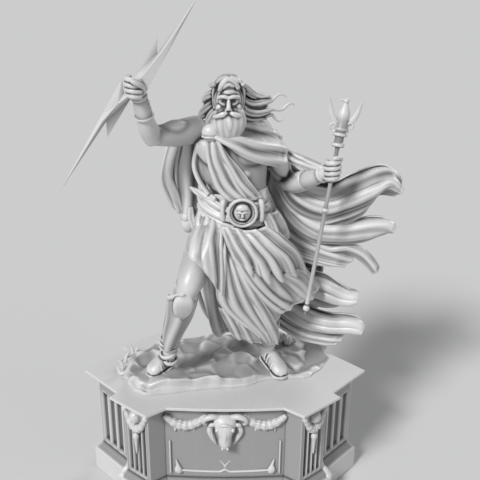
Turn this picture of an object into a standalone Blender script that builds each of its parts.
"""Statuette of a thunder god on a buttressed plinth, cast in grey resin.

World frame: metres, +Z up, the figure faces -Y. The origin is the middle of the plinth's underside.
Four pieces: the plinth, the figure with its rocky ground, the thunderbolt and the sceptre.
"""
import math

import bmesh
import bpy
import numpy as np
from mathutils import Vector
from mathutils.geometry import delaunay_2d_cdt

for leftover in list(bpy.data.objects):
    bpy.data.objects.remove(leftover, do_unlink=True)

# Clearances between the pieces
REST_GAP = 0.0003
FIST_CLEARANCE = 0.0004

# Plinth, seen from above in its front right quarter; the other quarters mirror it
PLINTH_HEIGHT = 0.119
PLATE_THICKNESS = 0.0030
PLATE_OVERHANG = 0.0090
END_TIP = 0.140
BAY_HALF_WIDTH = 0.0542
BAY_DEPTH = 0.0637
BAY_BOW = 0.0022
BUTTRESS_INNER = (0.0714, 0.0766)
BUTTRESS_OUTER = (0.1086, 0.0462)
BUTTRESS_RETURN = (0.1026, 0.0388)
FOOT_HEIGHT = 0.025
FOOT_SLOPE = 0.009
FOOT_INSET = 0.0026
FRIEZE_HEIGHT = 0.020
FLUTE_DEPTH = 0.0018
FLUTES_PER_FACE = 4
FLUTE_MARGIN = 0.004
FLUTE_END = 0.004
FLUTE_MOUTH = 0.38
FLUTE_FLOOR = 0.20
COVE_HEIGHT = 0.006
LIP_STEP = 0.0008
LIP_SHARE = 0.35

# Relief on the plinth: spans are shares of the wall face that carries them
RELIEF_DROP = 0.010
RELIEF_PROUD = 0.001
GARLAND_RADIUS = 0.0034
GARLAND_SAG = 0.011
SWAG_SAG = 0.0154
SWAG_SPAN = 0.81
BOSS_RADIUS = 0.0055
PENDANT_LENGTH = 0.022
PENDANT_RADIUS = 0.003
BRACKET_RISE = 0.024
BRACKET_RADIUS = 0.005
BRACKET_BASE = 0.004
OX_HEAD_HEIGHT = 0.034
OX_HEAD_HALF = 0.53

# Figure: the pose is laid out on a grid of 300 units to the figure's height
FIGURE_HEIGHT = 0.300
GRID = FIGURE_HEIGHT / 300
FIGURE_VOXEL = 0.0013
FIGURE_KEEP = 0.0125

# Feet on the pose grid, as heel and toe, and how far the rock rises into their soles
RIGHT_FOOT = ((-54, -15, 23), (-68, -27, 20))
LEFT_FOOT = ((43, 8, 13), (54, -12, 10))
BOOT_HALF_WIDTH = 7.5
BOOT_HALF_HEIGHT = 8
FOOT_SINK = 3.5
MOUND_REACH = 20

# Thunderbolt: a flat ridged blade in the plane through the raised fist
BOLT_DEPTH = -51
BOLT_EDGE = 0.0024
BOLT_RIDGE = 0.0046

# Sceptre
ROD_RADIUS = 0.0018
ROD_FOOT = (73, -39, 89)
ROD_TOP = (97, -13, 234)
FIST_BORE = (196, 231)
FINIAL_SIDES = 8

RESIN = (0.52, 0.52, 0.51, 1.0)


def spline(rows, count):
    """Smooth curve through rows of numbers, read at evenly spaced steps."""
    rows = np.asarray(rows, float)
    ends = np.vstack([2 * rows[0] - rows[1], rows, 2 * rows[-1] - rows[-2]])
    place = np.linspace(0, len(rows) - 1, count)
    left = np.minimum(place.astype(int), len(rows) - 2)
    part = (place - left)[:, None]
    a, b, c, d = (ends[left + k] for k in range(4))
    curve = 2 * b + (c - a) * part + (2 * a - 5 * b + 4 * c - d) * part**2
    return 0.5 * (curve + (3 * b - a - 3 * c + d) * part**3)


def unit(vectors):
    return vectors / np.maximum(np.linalg.norm(vectors, axis=-1, keepdims=True), 1e-9)


def rings_shell(bm, rings):
    """Closed skin over a stack of rings, with a pole at both ends."""
    loops = [[bm.verts.new(point) for point in ring] for ring in rings]
    for low, high in zip(loops, loops[1:]):
        for k in range(len(low)):
            n = (k + 1) % len(low)
            bm.faces.new((low[k], low[n], high[n], high[k]))
    for loop in (loops[0], loops[-1]):
        pole = bm.verts.new(sum((vert.co for vert in loop), Vector()) / len(loop))
        for k in range(len(loop)):
            bm.faces.new((loop[k], loop[(k + 1) % len(loop)], pole))


def limb(bm, rows, sides=10, steps=9, lean=(0, 1, 0)):
    """Rounded bar along rows of x, y, z, half width and half depth; lean points along its depth."""
    path = spline(rows, steps)
    centre, width, depth = path[:, :3], np.abs(path[:, 3]), np.abs(path[:, 4])
    along = unit(np.gradient(centre, axis=0))
    side = unit(np.cross(along, np.asarray(lean, float)))
    front = np.cross(side, along)
    turn = np.linspace(0, math.tau, sides, endpoint=False)
    across = side[:, None] * (width[:, None] * np.cos(turn))[..., None]
    through = front[:, None] * (depth[:, None] * np.sin(turn))[..., None]
    rings_shell(bm, centre[:, None] + across + through)


def ball(bm, centre, radii, sides=10, steps=7, turn_z=0.0):
    """Ellipsoid with three radii, turned about Z."""
    rise = np.linspace(-1, 1, steps) * 0.96 * math.pi / 2
    turn = np.linspace(0, math.tau, sides, endpoint=False)
    x = radii[0] * np.outer(np.cos(rise), np.cos(turn))
    y = radii[1] * np.outer(np.cos(rise), np.sin(turn))
    z = radii[2] * np.outer(np.sin(rise), np.ones(sides))
    c, s = math.cos(turn_z), math.sin(turn_z)
    rings_shell(bm, np.stack([c * x - s * y, s * x + c * y, z], axis=-1) + np.asarray(centre, float))


def spindle(bm, start, end, radius, flat=1.0, sides=8, lean=(0, 1, 0)):
    """Muscle: a bar that swells to its radius in the middle and tapers to both ends."""
    places = np.linspace(0, 1, 5)[:, None]
    line = np.asarray(start, float) * (1 - places) + np.asarray(end, float) * places
    swell = radius * np.array([0.25, 0.82, 1.0, 0.80, 0.25])[:, None]
    limb(bm, np.hstack([line, swell, swell * flat]), sides, 7, lean)


def cloth(bm, net, thick=3.0, across=9, along=9, pleats=0.0, depth=0.0):
    """Sheet of cloth through guides that run along its fall, with rounded pleats and sharp valleys.

    A point is a spline across the splines along the guides. The pleats add depth * (ridge - 0.5),
    where ridge = |sin(pi * pleats * t)| and t runs from the first guide to the last.
    """
    lines = np.stack([spline(guide, along) for guide in net])
    middle = np.stack([spline(lines[:, k], across) for k in range(along)], axis=1)
    gap = np.gradient(middle, axis=0)
    run = np.gradient(middle, axis=1)
    normal = unit(np.cross(gap, run))
    t = np.linspace(0, 1, across)[:, None]
    ridge = np.abs(np.sin(math.pi * pleats * t)) - 0.5
    swell = np.sin(np.linspace(0.25, 0.5, along) * math.pi)[None, :]
    middle = middle + normal * (depth * ridge * swell)[..., None]
    front, back = middle + normal * thick / 2, middle - normal * thick / 2
    cells = [[(bm.verts.new(front[i, j]), bm.verts.new(back[i, j])) for j in range(along)]
             for i in range(across)]
    for i in range(across - 1):
        for j in range(along - 1):
            corners = (cells[i][j], cells[i + 1][j], cells[i + 1][j + 1], cells[i][j + 1])
            bm.faces.new([corner[0] for corner in corners])
            bm.faces.new([corner[1] for corner in reversed(corners)])
    rim = [cells[i][0] for i in range(across)] + [cells[-1][j] for j in range(1, along)]
    rim += [cells[i][-1] for i in range(across - 2, -1, -1)]
    rim += [cells[0][j] for j in range(along - 2, 0, -1)]
    for here, after in zip(rim, rim[1:] + rim[:1]):
        bm.faces.new((here[0], here[1], after[1], after[0]))


def band(bm, centre, radii, height, thick, tilt=(0.0, 0.0), sides=20):
    """Ring of cloth or leather round an oval waist; tilt is its rise along +X and +Y."""
    turn = np.linspace(0, math.tau, sides, endpoint=False)
    hoops = []
    for out, up in ((0, -1), (1, -0.75), (1.2, 0), (1, 0.75), (0, 1)):
        x = (radii[0] + out * thick) * np.cos(turn)
        y = (radii[1] + out * thick) * np.sin(turn)
        z = up * height / 2 + tilt[0] * np.cos(turn) + tilt[1] * np.sin(turn)
        hoops.append(np.stack([x, y, z], axis=-1) + np.asarray(centre, float))
    rings_shell(bm, np.array(hoops))


def legs_and_trunk(bm):
    """Flesh of the trunk and legs; the right leg lunges forward, the left one stays under the skirt."""
    limb(bm, [(14, 4, 138, 24, 17), (12, 2, 165, 27, 19), (9, 0, 190, 26, 18), (6, -1, 215, 30, 20),
              (6, 1, 233, 33, 19), (7, 4, 246, 20, 13), (5, 2, 252, 9, 9)], 16, 11)
    limb(bm, [(6, 3, 238, 11, 11), (4, -3, 262, 10, 10)], 10, 4)
    for side, chest in ((-1, (-9, -14, 226)), (1, (19, -14, 226))):
        ball(bm, chest, (15, 10, 11), turn_z=-0.25 * side)
        spindle(bm, (7 + 26 * side, 2, 236), (9 + 24 * side, 2, 192), 9, 1.4)
        spindle(bm, (6 + 4 * side, 4, 250), (6 + 30 * side, 6, 242), 7)
        for step in range(3):
            ball(bm, (10 + 7 * side, -17, 207 - 11 * step), (7, 5, 6), 8, 5)
    limb(bm, [(-9, 6, 152, 17, 18), (-22, -20, 135, 18, 18), (-31, -40, 121, 15, 15),
              (-34, -46, 112, 11, 12), (-36, -41, 103, 10, 11)], 12, 9)
    limb(bm, [(-34, -44, 116, 10, 11), (-38, -36, 92, 11, 14), (-45, -27, 66, 10, 13),
              (-51, -21, 44, 7, 8), (-54, -18, 30, 7, 8)], 12, 9)
    spindle(bm, (-39, -30, 98), (-46, -18, 54), 10, 1.2)
    limb(bm, [(28, 8, 148, 18, 17), (36, -12, 120, 15, 15), (40, -22, 98, 11, 12),
              (41, -10, 72, 11, 12), (42, 2, 44, 7, 8), (42, 7, 24, 6, 8)], 12, 11)


def boot(bm, foot):
    """Sandalled foot from heel to toe, with a sole and a raised box over the toes."""
    heel, toe = np.array(foot, float)
    points = [heel + (toe - heel) * s for s in (-0.18, 0.12, 0.55, 0.88, 1.08)]
    shape = ((0.55, 0.5), (0.85, 1.0), (0.95, 0.85), (1.05, 0.66), (0.7, 0.4))
    limb(bm, [(*p, BOOT_HALF_WIDTH * w, BOOT_HALF_HEIGHT * h) for p, (w, h) in zip(points, shape)],
         10, 9, (0, 0, 1))


def mound(bm, foot):
    """Rise of the rock under a foot, whose top stands FOOT_SINK above the sole."""
    middle = np.mean(np.array(foot, float), axis=0)
    top = middle[2] - 0.85 * BOOT_HALF_HEIGHT + FOOT_SINK
    ball(bm, (middle[0], middle[1], 0), (MOUND_REACH, 0.85 * MOUND_REACH, top), 12, 9)


def greaves_and_feet(bm):
    boot(bm, RIGHT_FOOT)
    boot(bm, LEFT_FOOT)
    limb(bm, [(-47, -24, 60, 10.5, 12), (-48, -23, 57, 10.5, 12)], 12, 3)
    cloth(bm, [[(-49, -31, 98), (-51, -28, 80), (-53, -27, 60)],
               [(-38, -50, 100), (-43, -44, 80), (-48, -37, 60)],
               [(-26, -44, 98), (-31, -38, 82), (-38, -31, 62)]], 3, 7, 5)
    for lift in (0, 1, 2):
        cloth(bm, [[(33, -6, 62 - 14 * lift), (42, -14, 56 - 14 * lift), (52, -4, 48 - 14 * lift)],
                   [(33, -6, 54 - 14 * lift), (42, -14, 46 - 14 * lift), (52, -4, 38 - 14 * lift)]],
              3, 3, 5)


def arms_and_fists(bm):
    """Right arm raised with the bolt, left arm lowered to the sceptre, each with its bracer."""
    ball(bm, (-29, 0, 243), (14, 13, 13))
    limb(bm, [(-24, 1, 244, 12, 12), (-40, -11, 243, 11, 11), (-56, -24, 244, 9, 9),
              (-63, -29, 246, 8, 8)], 10, 7, (0, 0, 1))
    spindle(bm, (-32, -9, 250), (-57, -27, 251), 8)
    limb(bm, [(-62, -27, 242, 8, 8), (-67, -32, 252, 10, 10), (-69, -40, 264, 9, 9),
              (-70, -47, 277, 6, 6), (-70, -50, 286, 6, 6)], 10, 8)
    limb(bm, [(-68, -39, 262, 9, 9), (-69, -41, 264, 10, 10), (-69, -42, 267, 8.5, 8.5),
              (-70, -46, 275, 7, 7), (-70, -48, 278, 8, 8), (-70, -49, 280, 6.5, 6.5)], 12, 11)
    ball(bm, (-70, -51, 290), (8.5, 9.5, 8.5))
    for finger in range(4):
        height = 296 - 4 * finger
        spindle(bm, (-78, -54, height), (-64, -60, height - 3), 3.0, 1.0, 6, (0, 0, 1))
    ball(bm, (41, 5, 232), (13, 13, 13))
    limb(bm, [(40, 5, 236, 12, 12), (47, 13, 214, 11, 11), (55, 20, 197, 9, 9),
              (60, 20, 190, 8, 8)], 10, 7)
    spindle(bm, (44, 2, 224), (56, 10, 196), 8)
    limb(bm, [(55, 20, 190, 8, 8), (65, 11, 193, 10, 10), (76, -1, 200, 8, 8),
              (86, -12, 207, 6, 6), (90, -15, 210, 6, 6)], 10, 8, (0, 0, 1))
    limb(bm, [(68, 8, 195, 10, 10), (70, 6, 196, 10.5, 10.5), (72, 3, 197, 9, 9),
              (83, -9, 205, 7.2, 7.2), (85, -11, 206, 8.4, 8.4), (87, -13, 208, 7, 7)],
         12, 11, (0, 0, 1))
    ball(bm, (93, -17, 213), (8, 9, 9.5))
    for finger in range(4):
        height = 220 - 4.6 * finger
        spindle(bm, (87, -23, height - 2), (99, -25, height), 3.0, 1.0, 6, (0, 0, 1))


def head_hair_and_beard(bm):
    """Head with a full beard; the hair streams to the figure's left in the wind."""
    ball(bm, (3, -7, 270), (12.5, 15, 18), 14, 9)
    ball(bm, (3, -17, 270), (9.5, 9, 12), 10, 7)
    spindle(bm, (3, -24, 275), (3, -29, 266), 2.4, 1.3)
    limb(bm, [(-6, -24, 275, 1.5, 1.2), (3, -26.5, 276, 2.2, 1.6), (12, -24, 275, 1.5, 1.2)], 6, 5)
    ball(bm, (3.5, -19, 252), (13.5, 10, 11), 12, 7)
    spindle(bm, (3.5, -24, 262), (3.5, -25, 243), 5)
    for side in (-1, 1):
        limb(bm, [(3, -28, 263, 1.5, 1.5), (3 + 7 * side, -28, 261, 2.6, 2.2),
                  (3 + 13 * side, -23, 257, 1, 1)], 6, 6)
        limb(bm, [(3 + 2 * side, -20, 286, 2.5, 3), (3 + 9 * side, -19, 281, 3, 4),
                  (3 + 13 * side, -12, 268, 3, 5), (3 + 12 * side, -11, 256, 3, 5)], 8, 8)
        for leaf in range(3):
            spot = (3 + side * (13 + 1.5 * leaf), -6 + 4 * leaf, 278 + 1.5 * leaf)
            spindle(bm, spot, (spot[0] + 4 * side, spot[1] + 2, spot[2] + 5), 1.8)
    limb(bm, [(-9, -2, 280, 4, 5), (-17, -2, 276, 5, 5), (-21, 1, 270, 3, 3)], 8, 6)
    limb(bm, [(-8, 0, 274, 6, 8), (-16, -2, 264, 7, 8), (-21, 0, 254, 6, 7), (-17, 3, 246, 3, 4)], 8, 7)
    limb(bm, [(4, 2, 280, 12, 8), (4, 8, 266, 13, 8), (6, 12, 252, 11, 7), (8, 15, 240, 6, 4)], 10, 7)
    locks = (
        ((14, -8, 281), (24, 0, 274), (34, 5, 271), (42, 8, 266)),
        ((14, -9, 273), (24, -3, 264), (34, 3, 264), (43, 8, 261)),
        ((14, -8, 263), (23, -3, 259), (33, 3, 256), (43, 9, 254)),
        ((12, 0, 268), (24, 6, 268), (34, 10, 264), (40, 11, 260)),
    )
    for lock in locks:
        widths = ((5, 5), (5, 5), (4.5, 4), (2, 2))
        limb(bm, [(*p, *w) for p, w in zip(lock, widths)], 8, 8, (0, 1, 0.3))
    curls = (
        ((40, 8, 266), (45, 9, 271), (50, 10, 273), (55, 10, 269)),
        ((41, 8, 260), (48, 11, 257), (55, 12, 262), (61, 12, 260)),
        ((41, 9, 255), (45, 10, 250), (50, 11, 248), (54, 12, 249)),
        ((30, 2, 256), (34, 3, 249), (38, 4, 245), (42, 5, 242)),
    )
    for curl in curls:
        widths = ((2.2, 2.2), (1.7, 1.7), (1.5, 1.5), (1.1, 1.1))
        limb(bm, [(*p, *w) for p, w in zip(curl, widths)], 6, 8)


def tunic_and_sash(bm):
    """Cloth from the brooch across the chest, the mantle on the left shoulder, the sash and its buckle."""
    cloth(bm, [[(-13, -19, 246), (-12, -19, 223), (-9, -21, 211), (-6, -23, 199), (3, -24, 187)],
               [(-10, -24, 244), (-3, -27, 224), (3, -27, 213), (10, -27, 200), (19, -26, 187)],
               [(-7, -24, 245), (4, -27, 227), (13, -27, 216), (22, -26, 204), (35, -21, 187)]],
          3, 13, 7, 3.0, 3.0)
    cloth(bm, [[(-13, 4, 252), (5, 10, 255), (22, 14, 254), (38, 17, 248), (50, 18, 236)],
               [(-9, -16, 250), (6, -9, 251), (22, 1, 254), (37, 10, 249), (49, 14, 239)],
               [(-8, -21, 247), (6, -21, 245), (21, -13, 243), (38, -2, 240), (54, 8, 229)],
               [(-6, -24, 243), (5, -26, 236), (18, -24, 230), (33, -15, 224), (52, -1, 218)]],
          3.5, 11, 8, 3.5, 2.5)
    cloth(bm, [[(43, 10, 236), (58, 17, 227), (71, 11, 223), (81, -1, 221), (87, -9, 218)],
               [(44, -2, 224), (56, 6, 218), (69, 3, 214), (79, -7, 213), (85, -12, 214)]],
          3, 4, 7, 1, 2)
    ball(bm, (-11, -21, 246), (8.5, 7, 8.5), 12, 7)
    for lift, grow in ((183, 0), (174, 1.5), (164, 2)):
        band(bm, (11 + (183 - lift) * 0.15, -1, lift), (28 + grow, 20 + grow), 11, 3, (1.5, -1.5))
    limb(bm, [(16, -20, 177, 14.5, 14.5), (16, -29, 177, 14.5, 14.5), (16, -30, 177, 13, 13)],
         18, 5, (0, 0, 1))
    ball(bm, (16, -28, 177), (9, 7, 10), 12, 7)
    for x in (0, 31):
        limb(bm, [(x, -24, 184, 3, 2.5), (x, -26, 176, 3, 2.5), (x, -26, 168, 3, 2.5)], 6, 3)
    cloth(bm, [[(-19, -8, 174), (-22, -12, 166), (-19, -17, 158)],
               [(-8, -22, 170), (-10, -27, 163), (-7, -30, 156)]], 3, 3, 4)
    cloth(bm, [[(32, -24, 172), (36, -29, 160), (39, -31, 150)],
               [(44, -12, 170), (50, -16, 158), (53, -17, 144)],
               [(48, 2, 168), (55, 2, 158), (58, 2, 148)]], 3, 5, 5, 2, 2)


def skirt(bm):
    """Wind-blown skirt in layers: over the right thigh, the front fall, the short top and the under fall."""
    limb(bm, [(12, 0, 172, 29, 21), (16, -2, 150, 35, 27), (26, -4, 124, 38, 27),
              (38, -2, 98, 38, 24), (50, 2, 76, 32, 20), (58, 4, 62, 20, 14)], 16, 9)
    cloth(bm, [[(-19, 6, 160), (-29, -10, 155), (-36, -26, 150), (-38, -38, 143)],
               [(-13, -18, 165), (-20, -35, 158), (-25, -47, 150), (-26, -53, 144)],
               [(-7, -27, 164), (-11, -42, 153), (-13, -51, 140), (-14, -53, 130)],
               [(-2, -29, 162), (-3, -38, 147), (-4, -44, 130), (-6, -46, 115)]],
          3.5, 9, 7, 2, 2)
    cloth(bm, [[(-4, -29, 164), (3, -36, 145), (14, -38, 123), (28, -34, 99), (43, -26, 77)],
               [(6, -31, 163), (17, -38, 142), (31, -38, 121), (48, -32, 101), (66, -24, 84)],
               [(17, -32, 162), (29, -38, 144), (45, -36, 124), (63, -28, 105), (78, -18, 87)],
               [(28, -30, 162), (41, -33, 146), (56, -28, 128), (71, -18, 108), (82, -8, 87)],
               [(38, -21, 163), (53, -20, 146), (66, -14, 128), (78, -4, 106), (86, 4, 88)]],
          4, 21, 9, 6, 4)
    cloth(bm, [[(8, -34, 164), (18, -41, 147), (29, -44, 131), (35, -43, 118)],
               [(18, -35, 162), (32, -42, 147), (43, -42, 132), (46, -40, 121)],
               [(29, -33, 163), (43, -38, 150), (56, -34, 133), (60, -30, 118)],
               [(40, -25, 164), (54, -25, 149), (67, -19, 132), (76, -10, 104)]],
          3.5, 15, 7, 4, 3)
    cloth(bm, [[(-12, -24, 152), (-9, -33, 133), (-6, -33, 111), (-5, -30, 91), (1, -27, 78)],
               [(-5, -30, 150), (3, -37, 129), (10, -37, 107), (19, -33, 87), (25, -28, 65)],
               [(1, -30, 143), (14, -37, 121), (27, -37, 99), (38, -32, 80), (46, -22, 57)]],
          4, 15, 9, 4, 4)
    cloth(bm, [[(-4, -24, 84), (1, -20, 70), (7, -16, 51)], [(5, -28, 87), (14, -26, 69), (20, -20, 47)],
               [(14, -29, 82), (24, -26, 63), (34, -17, 41)]], 3, 5, 5)
    cloth(bm, [[(-22, 2, 128), (-21, 8, 100), (-15, 11, 70), (-5, 14, 40)],
               [(-8, -12, 128), (-8, -4, 98), (-3, 2, 68), (4, 6, 41)],
               [(10, -16, 124), (12, -10, 95), (18, -4, 66), (26, 0, 42)]], 3.5, 9, 7, 3, 3)
    limb(bm, [(-24, 8, 104, 2, 2), (-27, 11, 88, 2, 2), (-21, 14, 64, 2, 2), (-9, 17, 38, 2, 2)], 6, 7)


def cloak(bm):
    """Cloak down the back, with lobes that stream out to the figure's left and one behind the right arm."""
    cloth(bm, [[(-26, 12, 240), (-27, 24, 200), (-22, 30, 150), (-8, 34, 100), (8, 36, 56)],
               [(-8, 18, 250), (-6, 32, 200), (2, 40, 150), (16, 44, 100), (32, 44, 50)],
               [(12, 20, 252), (16, 34, 200), (28, 42, 150), (46, 46, 100), (62, 42, 44)],
               [(30, 20, 250), (38, 34, 200), (52, 40, 150), (72, 40, 100), (90, 34, 42)],
               [(46, 18, 240), (52, 30, 196), (62, 33, 158), (80, 32, 128), (98, 26, 108)]],
          4, 17, 10, 5, 5)
    cloth(bm, [[(43, 20, 228), (70, 28, 198), (98, 28, 188), (118, 27, 195), (141, 21, 204), (157, 15, 200)],
               [(43, 21, 218), (68, 28, 187), (99, 26, 176), (122, 24, 180), (143, 19, 190), (161, 10, 192)],
               [(43, 20, 211), (66, 22, 177), (93, 14, 169), (116, 9, 176), (137, 4, 186), (159, 1, 188)],
               [(43, 22, 203), (61, 20, 168), (87, 11, 156), (111, 5, 164), (134, 2, 174), (155, 3, 181)],
               [(42, 25, 195), (58, 25, 157), (83, 20, 143), (108, 16, 148), (130, 14, 159), (148, 12, 180)]],
          3.5, 13, 10)
    cloth(bm, [[(44, 26, 204), (66, 29, 166), (90, 25, 151), (114, 21, 151), (140, 16, 157), (152, 11, 156)],
               [(42, 27, 194), (62, 24, 157), (84, 15, 143), (110, 9, 144), (133, 7, 149), (157, 7, 152)],
               [(40, 28, 184), (58, 25, 149), (79, 18, 133), (103, 12, 132), (129, 10, 134), (149, 10, 142)]],
          3.5, 8, 9)
    cloth(bm, [[(60, 30, 152), (82, 27, 136), (101, 21, 128), (119, 16, 129), (133, 12, 126), (146, 8, 111)],
               [(60, 28, 142), (80, 25, 127), (97, 21, 121), (114, 14, 124), (130, 10, 119), (143, 8, 104)]],
          3.5, 4, 9, 1, 1.5)
    cloth(bm, [[(38, 30, 190), (55, 31, 152), (72, 28, 134), (98, 24, 124), (127, 16, 120)],
               [(37, 30, 180), (51, 27, 144), (68, 21, 127), (89, 17, 118), (121, 12, 114)],
               [(35, 30, 168), (45, 28, 134), (63, 23, 117), (82, 18, 110), (106, 14, 109)]],
          3.5, 7, 8)
    cloth(bm, [[(35, 41, 150), (56, 39, 116), (78, 29, 99), (99, 20, 95), (112, 12, 88), (128, 8, 84)],
               [(30, 41, 140), (50, 36, 104), (74, 23, 85), (95, 12, 82), (111, 6, 78), (124, 6, 76)],
               [(24, 41, 130), (45, 38, 93), (69, 27, 69), (92, 18, 62), (107, 12, 63), (117, 10, 68)]],
          3.5, 8, 9)
    cloth(bm, [[(37, 43, 105), (63, 37, 67), (87, 24, 58), (108, 16, 54), (122, 10, 56), (134, 6, 48)],
               [(31, 43, 94), (56, 36, 56), (79, 21, 46), (100, 12, 45), (117, 7, 46), (131, 6, 41)],
               [(25, 43, 81), (48, 38, 47), (72, 23, 33), (93, 16, 32), (113, 12, 34), (126, 10, 36)]],
          3.5, 8, 9)
    cloth(bm, [[(31, 44, 74), (56, 36, 46), (80, 20, 36), (101, 14, 34), (121, 10, 34)],
               [(25, 44, 61), (48, 36, 36), (72, 20, 27), (94, 14, 24), (111, 11, 23)]],
          4, 5, 8, 1, 1.5)
    cloth(bm, [[(-50, 16, 236), (-54, 20, 210), (-57, 24, 192), (-51, 24, 176), (-40, 23, 167)],
               [(-40, 18, 238), (-43, 26, 205), (-42, 28, 180), (-38, 26, 162), (-38, 22, 146)],
               [(-24, 14, 240), (-24, 22, 205), (-21, 22, 178), (-22, 19, 162), (-26, 17, 150)]],
          4, 11, 8, 3, 4)
    ball(bm, (-34, 16, 150), (8, 8, 10), 8, 6)


def rocky_ground(bm):
    """Low rock slab under the feet, highest under the right foot, with grass tufts at its left end."""
    outline = spline([(-94, -22, 7), (-79, -42, 12), (-55, -41, 13), (-31, -36, 12), (-1, -31, 8),
                      (21, -28, 7), (40, -18, 5), (69, -15, 5), (84, -10, 4), (104, 21, 4),
                      (96, 48, 4), (60, 62, 5), (10, 68, 6), (-40, 60, 6), (-76, 38, 6),
                      (-98, 8, 7), (-94, -22, 7)], 33)[:-1]
    centre = np.array([-10, 8, 0.0])
    rings = [np.column_stack([outline[:, :2], np.full(len(outline), -3.0)])]
    for share, lift in ((1.0, 0.25), (0.97, 0.9), (0.82, 1.0), (0.5, 0.9), (0.2, 0.9)):
        spot = centre[:2] + (outline[:, :2] - centre[:2]) * share
        near_foot = 4.5 * np.exp(-(((spot[:, 0] + 60) / 26) ** 2 + ((spot[:, 1] + 18) / 22) ** 2))
        crag = 0.8 * np.sin(spot[:, 0] * 0.19 + spot[:, 1] * 0.11) + 0.6 * np.sin(spot[:, 1] * 0.3)
        height = lift * (outline[:, 2] * 0.85 + near_foot + crag * (share < 1))
        rings.append(np.column_stack([spot, height]))
    rings_shell(bm, np.array(rings))
    mound(bm, RIGHT_FOOT)
    mound(bm, LEFT_FOOT)
    for x, y, lean_x, height in ((-102, 42, 5, 12), (-100, 45, -3, 9), (-114, 28, -4, 12),
                                 (-108, 30, 4, 13), (-105, 2, -6, 11), (-104, 4, 3, 10)):
        limb(bm, [(x, y, -3, 2.6, 2.6), (x, y, 3, 2.2, 2.2), (x + lean_x, y, height, 1.1, 1.1)], 6, 4)
    limb(bm, [(-92, 8, 4, 5, 3), (-104, 10, 2, 5, 3), (-110, 28, 1, 5, 3), (-102, 44, 1, 5, 3),
              (-88, 40, 3, 5, 3)], 6, 9, (0, 0, 1))
    for x, y, z in ((60, 50, 6), (68, 46, 8), (64, 40, 9), (74, 44, 5)):
        ball(bm, (x, y, z), (7, 6, 7), 7, 5)


def finish_object(name, bm, place=None):
    """Turn a bmesh into an object, with its points moved from the pose grid where a place is given."""
    bmesh.ops.recalc_face_normals(bm, faces=bm.faces)
    if place is not None:
        for vert in bm.verts:
            vert.co = place(vert.co)
    mesh = bpy.data.meshes.new(name)
    bm.to_mesh(mesh)
    bm.free()
    piece = bpy.data.objects.new(name, mesh)
    bpy.context.scene.collection.objects.link(piece)
    return piece


def on_grid(point):
    """Pose grid to metres: the grid's floor is the figure's underside."""
    return Vector((point[0] * GRID, point[1] * GRID, PLINTH_HEIGHT + REST_GAP + point[2] * GRID))


def resin(name):
    material = bpy.data.materials.new(name)
    material.use_nodes = True
    shader = material.node_tree.nodes["Principled BSDF"]
    shader.inputs["Base Color"].default_value = RESIN
    shader.inputs["Roughness"].default_value = 0.55
    shader.inputs["Metallic"].default_value = 0.0
    return material


def hide_cutter(cutter):
    cutter.hide_render = True
    cutter.display_type = "WIRE"


def boolean(piece, cutter, operation="DIFFERENCE", use_self=False):
    change = piece.modifiers.new(cutter.name, "BOOLEAN")
    change.operation = operation
    change.object = cutter
    change.use_self = use_self
    hide_cutter(cutter)


def bolt_outline():
    """Zigzag of the bolt on the pose grid (x, z), from its lower tip up the left side and back."""
    return [(-137, 202), (-98, 266), (-80, 295), (-79, 284), (-76.5, 285), (-75, 291), (-70, 297),
            (-51, 327), (-52, 314), (-19, 357), (-49, 306), (-63, 282), (-70, 281), (-74, 279.5),
            (-94, 249), (-94, 262)]


def bolt_mesh(grow=0.0):
    """Blade with a ridge along its middle; grow widens it on every side for the hole in the fist."""
    outline = np.array(bolt_outline(), float) * GRID
    outline = inset_outline(outline, grow)
    ridge = np.array([(-107.8, 246), (-97, 262), (-84, 276), (-73, 284), (-64, 297), (-47.5, 316),
                      (-33, 336)], float) * GRID
    points = np.vstack([outline, ridge])
    count = len(outline)
    edges = [(k, (k + 1) % count) for k in range(count)]
    edges += [(count + k, count + k + 1) for k in range(len(ridge) - 1)]
    flat, _, faces, origins, _, _ = delaunay_2d_cdt([Vector(p) for p in points], edges,
                                                    [list(range(count))], 1, 1e-7)
    half = [BOLT_RIDGE / 2 + grow if origin[0] >= count else BOLT_EDGE / 2 + grow for origin in origins]
    bm = bmesh.new()
    depth = BOLT_DEPTH * GRID
    base = PLINTH_HEIGHT + REST_GAP
    front = [bm.verts.new((p[0], depth - h, base + p[1])) for p, h in zip(flat, half)]
    back = [bm.verts.new((p[0], depth + h, base + p[1])) for p, h in zip(flat, half)]
    for face in faces:
        bm.faces.new([front[k] for k in face])
        bm.faces.new([back[k] for k in reversed(face)])
    rim = {}
    for face in faces:
        for here, after in zip(face, face[1:] + face[:1]):
            rim[(here, after)] = rim.get((here, after), 0) + 1
    for here, after in rim:
        if (after, here) not in rim:
            bm.faces.new((front[after], front[here], back[here], back[after]))
    return bm


def inset_outline(outline, distance):
    """Outline moved outwards by a distance at mitred corners; a negative one moves it inwards."""
    outline = np.asarray(outline, float)
    ahead = unit(np.roll(outline, -1, axis=0) - outline)
    normal = np.column_stack([-ahead[:, 1], ahead[:, 0]])
    area = np.sum(outline[:, 0] * np.roll(outline[:, 1], -1) - np.roll(outline[:, 0], -1) * outline[:, 1])
    if area > 0:
        normal = -normal
    before = np.roll(normal, 1, axis=0)
    mitre = (normal + before) / np.maximum(1 + np.sum(normal * before, axis=1), 0.2)[:, None]
    return outline + mitre * distance


def rod_point(height):
    """Point of the sceptre's axis at a height on the pose grid."""
    foot, top = np.array(ROD_FOOT, float), np.array(ROD_TOP, float)
    return foot + (top - foot) * (height - foot[2]) / (top[2] - foot[2])


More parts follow.
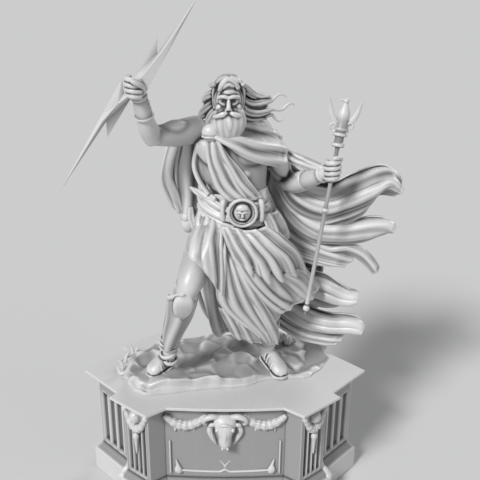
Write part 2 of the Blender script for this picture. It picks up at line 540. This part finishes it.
def turned(bm, profile, sides):
    """Turned shape about the rod's axis from rows of height and radius on the pose grid."""
    axis = unit(np.array(ROD_TOP, float) - np.array(ROD_FOOT, float))
    side = unit(np.cross(axis, (0.0, 1.0, 0.0)))
    front = np.cross(side, axis)
    turn = np.linspace(0, math.tau, sides, endpoint=False)[:, None]
    rings = [rod_point(height) + radius * (side * np.cos(turn) + front * np.sin(turn))
             for height, radius in profile]
    rings_shell(bm, np.array(rings))


def lightning_bolt():
    piece = finish_object("lightning_bolt", bolt_mesh())
    piece.data.materials.append(resin("bolt resin"))
    return piece


def sceptre():
    """Rod with a ball foot and a collar, and a finial of rings under a bird with raised wings."""
    rod = ROD_RADIUS / GRID
    bm = bmesh.new()
    ring = rod + 1.2
    turned(bm, [(84, 0.3), (87, ring - 1.4), (89, ring), (92, rod + 0.1), (94, rod), (175, rod), (176, ring),
                (179, ring), (180, rod), (231, rod + 0.4), (232, 5.6), (234.5, 5.6), (235.5, 3.9), (240, 3.9),
                (241, 6.2), (243, 6.2), (244, 4.4), (246, 6.0), (248, 5.2), (253, 4.6), (259, 5.4),
                (264, 3.6), (267, 2.2), (269, 1.4)], FINIAL_SIDES)
    piece = finish_object("sceptre", bm, on_grid)
    bm = bmesh.new()
    head = rod_point(269)
    limb(bm, [(*(head + (-5, 0, 2.5)), 0.8, 0.8), (*(head + (0, -1, 0.5)), 2.4, 1.8),
              (*(head + (5, 0, -0.5)), 0.8, 0.8)], 6, 4, (0, 0, 1))
    for side, reach, rise in ((-1, 12, 21), (1, 19, 17)):
        root = rod_point(253) + (3 * side, 0, 0)
        tip = rod_point(253) + (reach * side, 0, rise)
        limb(bm, [(*(root + (0, 0, -5)), 2, 1.6), (*(root * 0.62 + tip * 0.38), 3.6, 1.4),
                  (*tip, 0.7, 0.6)], 6, 6)
        scroll = rod_point(247) + (8.5 * side, 0, 3)
        limb(bm, [(*rod_point(246), 1.6, 1.6), (*(scroll - (0, 0, 2)), 2.0, 2.0),
                  (*(scroll + (0, 0, 3)), 1.3, 1.3)], 6, 5)
    finial = finish_object("finial", bm, on_grid)
    boolean(piece, finial, "UNION", use_self=True)
    piece.data.materials.append(resin("sceptre resin"))
    return piece


def outer_skin(name, raw):
    """New object with the largest connected skin of another's evaluated mesh: inner pockets are filled."""
    bm = bmesh.new()
    bm.from_mesh(raw.evaluated_get(bpy.context.evaluated_depsgraph_get()).to_mesh())
    bm.verts.index_update()
    waiting = set(bm.verts)
    skins = []
    while waiting:
        edge_of_skin = [waiting.pop()]
        skin = set(edge_of_skin)
        while edge_of_skin:
            vert = edge_of_skin.pop()
            near = {edge.other_vert(vert) for edge in vert.link_edges} & waiting
            waiting -= near
            skin |= near
            edge_of_skin.extend(near)
        skins.append(skin)
    skins.sort(key=len)
    inner = [vert for skin in skins[:-1] for vert in skin]
    bmesh.ops.delete(bm, geom=inner, context="VERTS")
    mesh = bpy.data.meshes.new(name)
    bm.to_mesh(mesh)
    bm.free()
    piece = bpy.data.objects.new(name, mesh)
    bpy.context.scene.collection.objects.link(piece)
    return piece


def figure():
    """The whole figure as one casting: its forms fused, thinned, cut flat below and bored at the fists."""
    bm = bmesh.new()
    for form in (legs_and_trunk, greaves_and_feet, arms_and_fists, head_hair_and_beard, tunic_and_sash,
                 skirt, cloak, rocky_ground):
        form(bm)
    forms = finish_object("figure_forms", bm, on_grid)
    fuse = forms.modifiers.new("Fuse", "REMESH")
    fuse.mode = "VOXEL"
    fuse.voxel_size = FIGURE_VOXEL
    piece = outer_skin("zeus_figure", forms)
    hide_cutter(forms)
    thin = piece.modifiers.new("Thin", "DECIMATE")
    thin.ratio = FIGURE_KEEP
    bpy.ops.mesh.primitive_cube_add(size=1)
    floor = bpy.context.object
    floor.name = "floor_cutter"
    floor.scale = (4 * END_TIP, 4 * END_TIP, PLINTH_HEIGHT)
    floor.location = (0, 0, PLINTH_HEIGHT / 2 + REST_GAP)
    boolean(piece, floor)
    boolean(piece, finish_object("bolt_cutter", bolt_mesh(FIST_CLEARANCE)))
    bm = bmesh.new()
    bore = (ROD_RADIUS + FIST_CLEARANCE) / GRID
    turned(bm, [(height, bore) for height in FIST_BORE], FINIAL_SIDES)
    boolean(piece, finish_object("rod_cutter", bm, on_grid))
    piece.data.materials.append(resin("figure resin"))
    return piece


def quarter_outline():
    """Corners of the plate's front right quarter from the middle of the front to the end tip."""
    bow = [(BAY_HALF_WIDTH * s, -BAY_DEPTH - BAY_BOW * (1 - s * s)) for s in (0.0, 0.5)]
    return bow + [(BAY_HALF_WIDTH, -BAY_DEPTH), (BUTTRESS_INNER[0], -BUTTRESS_INNER[1]),
                  (BUTTRESS_OUTER[0], -BUTTRESS_OUTER[1]), (BUTTRESS_RETURN[0], -BUTTRESS_RETURN[1]),
                  (END_TIP, 0.0)]


def full_outline():
    """Plate outline, counter-clockwise from the middle of the front."""
    quarter = quarter_outline()
    right = quarter + [(x, -y) for x, y in reversed(quarter[:-1])]
    left = [(-x, -y) for x, y in right]
    return np.array(right[:-1] + left[:-1])


def flute_cutter(wall, low, high):
    """Grooves for the long slanting wall faces: each is a prism with a flat-bottomed profile."""
    bm = bmesh.new()
    for here, after in zip(wall, np.roll(wall, -1, axis=0)):
        ahead = after - here
        length = np.linalg.norm(ahead)
        slanting = min(abs(ahead)) > 0.4 * length
        if not slanting or length < 8 * FLUTE_MARGIN:
            continue
        inward = np.array([-ahead[1], ahead[0]]) / length
        pitch = (length - 2 * FLUTE_MARGIN) / FLUTES_PER_FACE
        for k in range(FLUTES_PER_FACE):
            middle = here + ahead / length * (FLUTE_MARGIN + (k + 0.5) * pitch)
            corners = ((-FLUTE_MOUTH, -1), (FLUTE_MOUTH, -1), (FLUTE_MOUTH, 0), (FLUTE_FLOOR, 1),
                       (-FLUTE_FLOOR, 1), (-FLUTE_MOUTH, 0))
            profile = [middle + ahead / length * pitch * share + inward * FLUTE_DEPTH * cut
                       for share, cut in corners]
            loops = [[bm.verts.new((x, y, z)) for x, y in profile] for z in (low, high)]
            for j in range(len(profile)):
                n = (j + 1) % len(profile)
                bm.faces.new((loops[0][j], loops[0][n], loops[1][n], loops[1][j]))
            bm.faces.new(reversed(loops[0]))
            bm.faces.new(loops[1])
    return finish_object("flute_cutter", bm)


def plinth_body():
    """Plinth as a loft of its outline: foot, slope, fluted wall, cove and plate."""
    outline = full_outline()
    wall = inset_outline(outline, -PLATE_OVERHANG)
    foot = inset_outline(outline, -FOOT_INSET)
    lip = inset_outline(outline, -PLATE_OVERHANG * LIP_SHARE)
    wall_low = FOOT_HEIGHT + FOOT_SLOPE
    under_plate = PLINTH_HEIGHT - PLATE_THICKNESS
    levels = [(0.0, foot), (FOOT_HEIGHT, foot), (wall_low, wall), (under_plate - COVE_HEIGHT, wall),
              (under_plate - LIP_STEP, lip), (under_plate, outline), (PLINTH_HEIGHT, outline)]
    bm = bmesh.new()
    loops = [[bm.verts.new((x, y, z)) for x, y in shape] for z, shape in levels]
    for low, high in zip(loops, loops[1:]):
        for k in range(len(low)):
            n = (k + 1) % len(low)
            bm.faces.new((low[k], low[n], high[n], high[k]))
    bm.faces.new(reversed(loops[0]))
    bm.faces.new(loops[-1])
    piece = finish_object("plinth", bm)
    boolean(piece, flute_cutter(wall, wall_low + FLUTE_END, under_plate - FRIEZE_HEIGHT))
    return piece


def wall_frame(start, end):
    """Middle, outward normal and run of a wall face between two corners seen from above."""
    start, end = np.array(start), np.array(end)
    run = unit(end - start)
    outward = np.array([run[1], -run[0]])
    return (start + end) / 2, outward, run


def garland(bm, middle, outward, run, half, top, sag, radius):
    """Swag hung from two points of a wall, thickest at its lowest point."""
    rows = []
    for s in np.linspace(-1, 1, 7):
        spot = middle + run * half * s + outward * (radius * 0.25)
        width, depth = radius * (1.15 - 0.5 * s * s), radius * (1 - 0.3 * s * s)
        rows.append((*spot, top - sag * (1 - s * s), width, depth))
    limb(bm, rows, 6, 6, (*outward, 0))


def plinth_relief():
    """Ox heads and garlands on the two bays, swags on the buttresses, brackets at the inner corners."""
    bm = bmesh.new()
    wall = inset_outline(full_outline(), -PLATE_OVERHANG)
    hang = PLINTH_HEIGHT - PLATE_THICKNESS - RELIEF_DROP
    wall_low = FOOT_HEIGHT + FOOT_SLOPE
    bay = np.array([0.0, wall[0][1]])
    garland_ends = (OX_HEAD_HALF * OX_HEAD_HEIGHT, wall[2][0])
    garland_middle, garland_half = sum(garland_ends) / 2, (garland_ends[1] - garland_ends[0]) / 2
    bow = BAY_BOW * (garland_middle / BAY_HALF_WIDTH) ** 2
    for facing in (1, -1):
        run = np.array([facing, 0.0])
        outward = np.array([0.0, -facing])
        middle = bay * facing
        for side in (-1, 1):
            spot = middle + run * side * garland_middle - outward * bow
            garland(bm, spot, outward, run, garland_half, hang, GARLAND_SAG, GARLAND_RADIUS)
        ox_head(bm, middle, outward, run, hang + RELIEF_PROUD)
    for flip_x in (1, -1):
        for flip_y in (1, -1):
            flip = np.array([flip_x, flip_y])
            inner, outer, back = wall[3] * flip, wall[4] * flip, wall[5] * flip
            if flip_x * flip_y < 0:
                inner, outer = outer, inner
            middle, outward, run = wall_frame(inner, outer)
            half = SWAG_SPAN / 2 * np.linalg.norm(outer - inner)
            garland(bm, middle, outward, run, half, hang, SWAG_SAG, GARLAND_RADIUS)
            proud = middle + outward * RELIEF_PROUD
            ball(bm, (*proud, hang - 2 * RELIEF_PROUD), (BOSS_RADIUS, BOSS_RADIUS, 1.2 * BOSS_RADIUS), 6, 4)
            pendant_top = hang - SWAG_SAG - 2 * PENDANT_RADIUS
            limb(bm, [(*proud, pendant_top - PENDANT_LENGTH * down, PENDANT_RADIUS * w, PENDANT_RADIUS * w)
                      for down, w in ((0, 1), (0.55, 0.65), (1, 0.25))], 5, 3, (*outward, 0))
            bracket(bm, back, wall_low)
    return finish_object("plinth_relief", bm)


def bracket(bm, corner, wall_low):
    """Scroll at an inner corner of the wall that runs down over the slope and the foot."""
    out = unit(corner)
    step = PLATE_OVERHANG - FOOT_INSET
    rows = ((0.15, wall_low + BRACKET_RISE, 0.4, 0.4), (0.6, wall_low + RELIEF_PROUD, 0.7, 0.8),
            (1.55, FOOT_HEIGHT + RELIEF_PROUD, 0.8, 1.0), (1.9, BRACKET_BASE, 1.0, 1.0))
    limb(bm, [(*(corner + out * step * reach), height, BRACKET_RADIUS * w, BRACKET_RADIUS * d)
              for reach, height, w, d in rows], 6, 5, (*out, 0))


def ox_head(bm, middle, outward, run, top):
    """Ox head hung on the bay: skull, muzzle, ears, horns and the leaf locks beside it.

    Every row is across, out, down, half width and half depth, as shares of the head's height.
    """
    def bar(rows, sides, steps):
        size = OX_HEAD_HEIGHT
        limb(bm, [(*(middle + run * across * size + outward * out * size), top - down * size,
                   wide * size, deep * size) for across, out, down, wide, deep in rows],
             sides, steps, (*outward, 0))
    bar([(0, 0.03, 0, 0.22, 0.10), (0, 0.09, 0.22, 0.31, 0.20), (0, 0.12, 0.55, 0.23, 0.20),
         (0, 0.15, 0.82, 0.16, 0.17), (0, 0.12, 1.0, 0.09, 0.10)], 8, 7)
    for side in (-1, 1):
        bar([(0.2 * side, 0.06, 0.05, 0.09, 0.09), (0.5 * side, 0.12, 0.02, 0.09, 0.09),
             (0.62 * side, 0.09, 0.22, 0.065, 0.065), (0.5 * side, 0.06, 0.34, 0.03, 0.03)], 5, 5)
        bar([(0.38 * side, 0.015, 0.25, 0.06, 0.06), (0.42 * side, 0.045, 0.55, 0.076, 0.06),
             (0.3 * side, 0.03, 0.9, 0.03, 0.03)], 5, 4)


def plinth():
    piece = plinth_body()
    boolean(piece, plinth_relief(), "UNION", use_self=True)
    piece.data.materials.append(resin("plinth resin"))
    return piece


plinth()
figure()
lightning_bolt()
sceptre()
